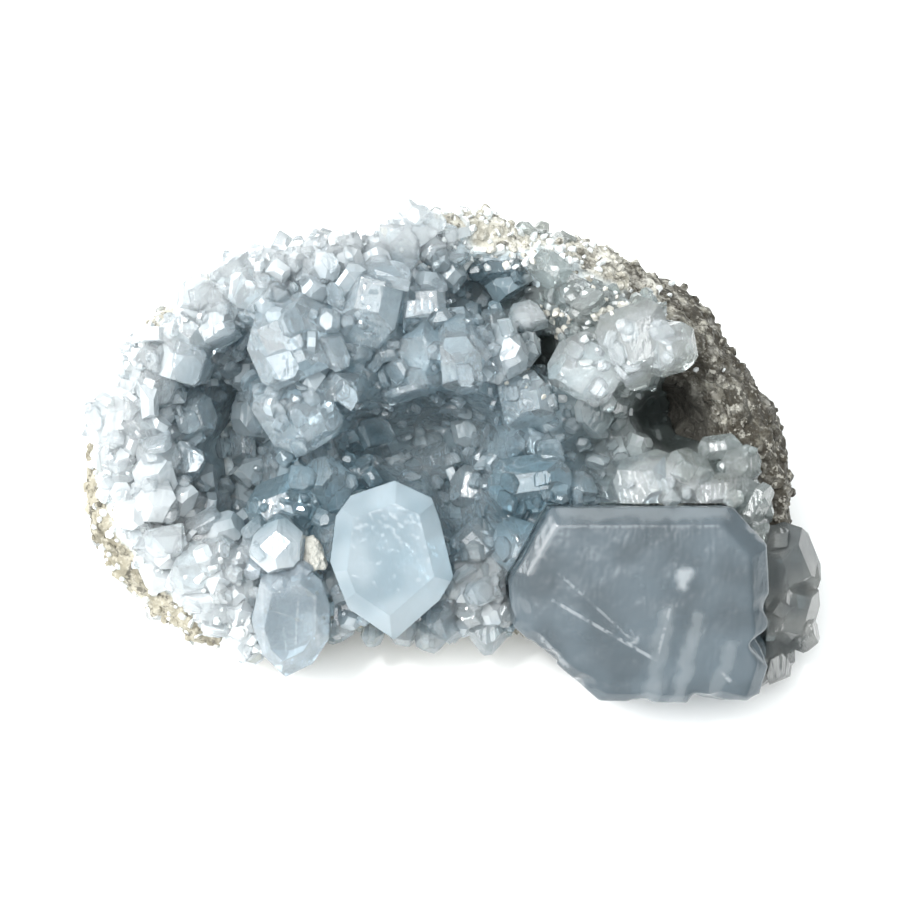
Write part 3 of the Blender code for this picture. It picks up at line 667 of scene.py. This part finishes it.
druse = {
    "candidates": 2600, "sideways": 600, "heights": (-8, 9), "dip": 6, "size": (3.2, 7.2),
    "spacing": 0.31, "root": -0.22, "tilt": 0.4, "seed": 7, "transmission": 0.62,
}
steps = {
    "candidates": 1300, "size": (2.4, 5.6), "spacing": 0.4, "root": 0.02, "tilt": 0.0, "seed": 3,
    "transmission": 0.82,
}
fill = {
    "candidates": 3400, "sideways": 500, "heights": (-8, 8), "dip": 6, "size": (1.4, 3.2),
    "spacing": 0.42, "root": 0.1, "tilt": 0.7, "seed": 5, "transmission": 0.80,
}
sugar = {
    "candidates": 5200, "sideways": 900, "heights": (-6, 6), "dip": 4, "size": (0.6, 1.6),
    "spacing": 0.42, "root": 0.1, "tilt": 0.8, "seed": 11,
    "transmission": 0.35, "tint": ("#DDE3E3", "#F2F5F5"), "roughness": 0.2,
}
# Crystals placed one by one: place on the face, height, length, lean across and up, form.
# First the clear ones that hang over the lower edge.
edgeLook = {"transmission": 0.72, "tint": ("#B9C4C8", "#DCE3E5"), "roughness": 0.06}
edgeCrystals = [
    (-9.6, -25.6, -1.5, 4.6, -20, -60, "roof"), (-5.8, -24.6, -0.5, 6.2, -8, -62, "stub"),
    (-2.6, -25.2, -1.0, 6.8, 8, -58, "roof"), (0.6, -24.6, -0.6, 5.6, -6, -66, "point"),
    (2.6, -22.6, 1.6, 5.8, 4, -40, "stub"), (4.6, -25.0, -0.4, 6.6, 10, -58, "block"),
    (6.6, -22.8, 0.6, 5.2, 16, -48, "roof"), (1.2, -19.8, 2.0, 5.4, -10, -30, "stub"),
    (4.4, -18.6, 2.2, 5.0, 8, -24, "point"), (-13.2, -24.6, -0.6, 4.4, -22, -50, "block"),
    (-14.6, -19.4, 1.4, 4.6, -10, -30, "roof"), (3.0, -15.6, 2.2, 4.4, 0, -14, "stub"),
]
# the ones that grow on two of the large crystals
sideCrystals = {
    "corner_crystal": [
        (-21.9, -14.9, 6.4, 6.8, 14, -20, "stub"), (-23.6, -17.4, 5.6, 4.6, -18, -6, "block"),
        (-18.4, -17.9, 6.6, 4.4, 16, -8, "stub"), (-20.4, -19.4, 7.6, 4.4, -4, -20, "roof"),
    ],
    "smoky_cluster": [
        (40.6, -14.6, -2.2, 6.2, 12, 6, "stub"), (43.6, -18.8, -3.4, 6.6, 22, -6, "block"),
        (41.2, -22.6, -2.2, 6.2, 6, -12, "stub"), (44.2, -26.0, -3.8, 6.4, 26, -24, "stub"),
        (41.0, -29.8, -2.8, 6.2, 12, -38, "block"),
    ],
}


def placeCrystals(name, forms, places):
    copies = []
    for number, (x, y, height, length, across, up, kind) in enumerate(places):
        mesh = forms[kind].data.copy()
        turn = Matrix.Rotation(math.radians(across), 4, "Y") @ Matrix.Rotation(-math.radians(up), 4, "X")
        spin = Matrix.Rotation(number * 1.3, 4, "Z")
        size = Matrix.Diagonal((length * 0.8 * mm, length * 0.75 * mm, length * mm, 1))
        place = Matrix.Translation(Vector((x, y, height)) * mm)
        mesh.transform(faceMatrix @ place @ turn @ (spin @ size))
        copy = bpy.data.objects.new(name, mesh)
        bpy.context.scene.collection.objects.link(copy)
        copies.append(copy)
    return joined(name, copies)


def makeDruse(rind, crust):
    large = [frame["nodes"][name] for name in largeCrystals]
    clear = surfaceOf(large)[0]
    forms = {kind: cutForm(*form) for kind, form in crystalForms.items()}
    crystals = list(forms.values())
    lining = scatter("celestite_lining", crystals, surfaceOf([crust, rind] + large), druse, druseShare, clear)
    wear(lining, celestiteMaterial("celestite_lining", druse["transmission"], worn=0), "crust")

    flat = [cutForm(*form) for form in stepForms.values()]
    surface = surfaceOf([crust, rind] + large + [lining])
    grown = scatter("celestite_growth_steps", flat, surface, steps, stepShare, clear)
    wear(grown, celestiteMaterial("celestite_steps", steps["transmission"], worn=0), "crust")

    surface = surfaceOf([crust, rind, lining] + large)
    small = scatter("celestite_small_crystals", crystals, surface, fill, fillShare)
    wear(small, celestiteMaterial("celestite_small", fill["transmission"], frost=0), "crust")

    hanging = placeCrystals("celestite_edge_crystals", forms, edgeCrystals)
    wear(hanging, celestiteMaterial("celestite_edge", **edgeLook), "crust")
    for node, places in sideCrystals.items():
        look = {key: largeCrystals[node][key] for key in ("transmission", "tint", "roughness")}
        side = placeCrystals("celestite_on_" + node, forms, places)
        wear(side, celestiteMaterial(side.name, **look), node)

    fine = scatter("celestite_sugar", crystals, surfaceOf([crust, rind] + large), sugar, sugarShare)
    look = {key: sugar[key] for key in ("transmission", "tint", "roughness")}
    wear(fine, celestiteMaterial("celestite_sugar", **look, frost=0), "crust")
    for form in crystals + flat:
        bpy.data.objects.remove(form)


# white frosted marks on the face, in millimetres: start, end, half width, strength
largeMarks = [
    ((12.3, -21.2), (25.0, -28.6), 0.32, 0.30), ((13.1, -18.0), (22.4, -26.4), 0.28, 0.18),
    ((25.0, -28.6), (26.7, -22.0), 0.32, 0.18), ((26.4, -22.0), (24.0, -34.4), 1.7, 0.11),
    ((30.2, -22.6), (27.4, -34.4), 1.5, 0.13), ((34.2, -26.2), (31.6, -34.6), 1.4, 0.11),
    ((13.0, -10.6), (34.4, -10.6), 1.5, 0.14), ((35.9, -12.2), (39.0, -15.0), 0.6, 0.25),
    ((39.0, -15.0), (40.0, -28.5), 0.5, 0.22), ((28.9, -17.4), (28.0, -20.0), 1.4, 0.38),
    ((21.6, -25.4), (22.8, -26.6), 0.7, 0.25), ((10.6, -25.4), (14.4, -29.6), 0.5, 0.25),
    ((33.0, -30.2), (34.6, -31.6), 0.4, 0.30),
]
cornerMarks = [
    ((-18.4, -21.0), (-18.9, -28.0), 0.22, 0.45), ((-16.5, -20.5), (-16.1, -27.6), 0.30, 0.5),
    ((-20.3, -24.2), (-19.7, -30.2), 0.18, 0.4), ((-22.9, -19.5), (-22.7, -28.5), 0.30, 0.45),
    ((-21.6, -22.6), (-17.6, -24.0), 0.18, 0.3), ((-22.4, -28.6), (-19.6, -31.0), 0.25, 0.5),
]
largeCrystals = {
    "large_tabular_crystal": {
        "transmission": 0.50, "tint": ("#525E65", "#65727A"), "density": 26.0, "roughness": 0.20,
        "marks": largeMarks,
    },
    "pointed_crystal": {
        "transmission": 0.60, "tint": ("#9DAFB8", "#BDCBD2"), "density": 18.0, "roughness": 0.08,
    },
    "corner_crystal": {
        "transmission": 0.74, "tint": ("#A9B7C0", "#D2DDE4"), "density": 16.0, "roughness": 0.06,
        "marks": cornerMarks,
    },
    "smoky_cluster": {
        "transmission": 0.66, "tint": ("#767C7D", "#A3A5A2"), "density": 26.0, "roughness": 0.16,
    },
}
# the large crystal's broken edge, in millimetres on the face
brokenEdge = {
    "line": [(39.4, -24.0), (37.4, -34.2), (18.2, -33.6), (7.6, -24.5)], "reach": 3.5,
    "chips": (3.2, 1.5), "voxel": 0.25, "swell": (3.0, 0.08),
}


def nearestOn(line, x, y):
    # distance to a line of several stretches, in the plane of the face
    best = math.inf
    for (x1, y1), (x2, y2) in zip(line, line[1:]):
        dx, dy = x2 - x1, y2 - y1
        t = min(max(((x - x1) * dx + (y - y1) * dy) / (dx * dx + dy * dy), 0), 1)
        best = min(best, math.hypot(x - x1 - t * dx, y - y1 - t * dy))
    return best


def breakEdge(crystal):
    # Points near the broken edge move towards the crystal's middle by uneven bites.
    applyModifier(crystal, "REMESH", mode="VOXEL", voxel_size=brokenEdge["voxel"] * mm)
    toFace = faceMatrix.inverted()
    spots = [toFace @ v.co / mm for v in crystal.data.vertices]
    middle = sum((Vector(s) for s in spots), Vector()) / len(spots)
    size, depth = brokenEdge["chips"]
    for vertex, spot in zip(crystal.data.vertices, spots):
        distance = nearestOn(brokenEdge["line"], spot.x, spot.y)
        if distance > brokenEdge["reach"]:
            continue
        bite = max(noise.noise(Vector((spot.x, spot.y, spot.z * 0.35)) / size) + 0.12, 0) * 2 * depth
        inward = Vector((middle.x - spot.x, middle.y - spot.y, 0)).normalized()
        vertex.co = faceMatrix @ ((spot + inward * bite * (1 - distance / brokenEdge["reach"])) * mm)
    applyModifier(crystal, "SMOOTH", factor=0.5, iterations=4)
    displaceBy(crystal, "CLOUDS", *brokenEdge["swell"], noise_depth=0)
    bpy.ops.object.shade_smooth()


def makeLargeCrystals():
    for name, look in largeCrystals.items():
        crystal = copyOfNode(name, "celestite_" + name)
        if name == "large_tabular_crystal":
            breakEdge(crystal)
        wear(crystal, celestiteMaterial("celestite_" + name, **look, frost=0.3), name, name)
        print(name + ":", len(crystal.data.polygons), "faces")


stageSet = {
    # the camera, square to the face: metres, degrees, millimetres, and where it aims on the face
    "distance": 0.320, "elevation": 52.0, "lens": 102.4, "sensor": 36, "clip": 0.01, "aim": (0.0, -3.1),
    "floor": ("#F7F7F6", "#FBFBFA"),
    # a faintly blue sky, its strength far from and close to its brightest part, and the way to that part
    "sky": (0.94, 0.985, 1.0, 1), "skyStrength": (0.72, 1.45), "brightest": (-0.55, -0.15, 0.82),
}
# each lamp: power, size in metres, and the way to it as azimuth and elevation
lamps = {"key_window": (6.5, 0.5, -75, 48), "front_window": (3.2, 0.5, -8, 60), "lamp": (1.6, 0.06, -40, 66)}
lampDistance = 0.8


def makeFloor():
    deselectAll()
    bpy.ops.mesh.primitive_plane_add(size=6, location=(0, 0, 0))
    floor = bpy.context.object
    floor.name = "pale_floor"
    # Matt white card: bare paper fibres that spread the light evenly, so the contact shadow stays soft
    material, tree, shader, coords = newMaterial("matt_white_card")
    low, high = (linear(colour) for colour in stageSet["floor"])
    colour = paint(tree, low, [(cloudy(tree, coords, 60, 2), high)])
    tree.links.new(colour, shader.inputs["Base Color"])
    shader.inputs["Roughness"].default_value = 0.9
    floor.data.materials.append(material)


def makeSky():
    world = bpy.data.worlds.new("soft_studio")
    bpy.context.scene.world = world
    world.use_nodes = True
    tree = world.node_tree
    brightest = Vector(stageSet["brightest"]).normalized()
    direction = addNode(tree, "TexCoord", output="Generated")
    towards = addNode(tree, "VectorMath", (direction, brightest), operation="DOT_PRODUCT", output="Value")
    strength = addNode(tree, "MapRange", (towards, -0.3, 1.0, *stageSet["skyStrength"]), **softly)
    tree.links.new(strength, tree.nodes["Background"].inputs["Strength"])
    tree.nodes["Background"].inputs["Color"].default_value = stageSet["sky"]


def makeLamp(name, energy, size, azimuth, elevation):
    light = bpy.data.lights.new(name, "AREA")
    light.energy, light.size = energy, size
    obj = bpy.data.objects.new(name, light)
    bpy.context.scene.collection.objects.link(obj)
    a, e = math.radians(azimuth), math.radians(elevation)
    towards = Vector((math.sin(a) * math.cos(e), -math.cos(a) * math.cos(e), math.sin(e)))
    obj.location = towards * lampDistance
    obj.rotation_euler = towards.to_track_quat("Z", "Y").to_euler()


def makeCamera():
    camera = bpy.data.cameras.new("camera")
    obj = bpy.data.objects.new("camera", camera)
    bpy.context.scene.collection.objects.link(obj)
    elevation = math.radians(stageSet["elevation"])
    towards = Vector((0, -math.cos(elevation), math.sin(elevation)))
    obj.location = facePoint(*stageSet["aim"]) + towards * stageSet["distance"]
    obj.rotation_euler = towards.to_track_quat("Z", "Y").to_euler()
    camera.lens, camera.sensor_width = stageSet["lens"], stageSet["sensor"]
    camera.clip_start = stageSet["clip"]
    bpy.context.scene.camera = obj


def makeStage():
    bpy.context.scene.view_settings.view_transform = "Standard"
    makeFloor()
    makeSky()
    for name, settings in lamps.items():
        makeLamp(name, *settings)
    makeCamera()
    print("stage:", len(lamps), "lamps")


rind = makeRind()
crust = makeCrust()
markLining(rind, crust)
makeGrains(rind, crust)
makeDruse(rind, crust)
makeLargeCrystals()
makeStage()
